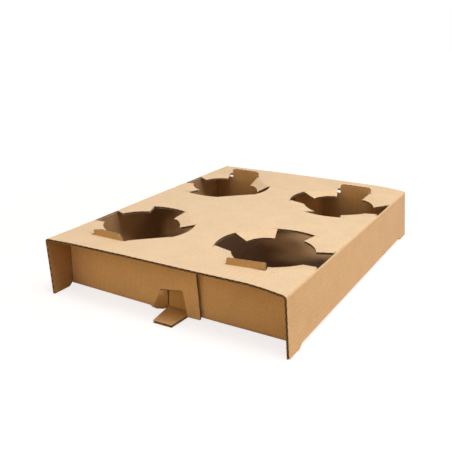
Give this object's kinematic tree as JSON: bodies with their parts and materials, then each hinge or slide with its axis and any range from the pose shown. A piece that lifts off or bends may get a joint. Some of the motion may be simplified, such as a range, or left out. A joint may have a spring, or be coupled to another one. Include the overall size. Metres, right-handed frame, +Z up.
{
  "type": "cup carrier",
  "caption": "Folded corrugated card drinks carrier: a low open-ended sleeve with star-cut cup openings, folded end walls held by tongues, and feet at the ends of its side walls.",
  "frame": {"origin": "on the floor, under the middle of the carrier", "axes": "+X to the right along the front edge, +Y towards the back, +Z up"},
  "size_m": [0.2667, 0.3676, 0.0657],
  "materials": {
    "kraft_board": "uncoated kraft liner"
  },
  "bodies": {
    "root": {"carrier_sheet": "kraft_board"}
  },
  "joints": []
}
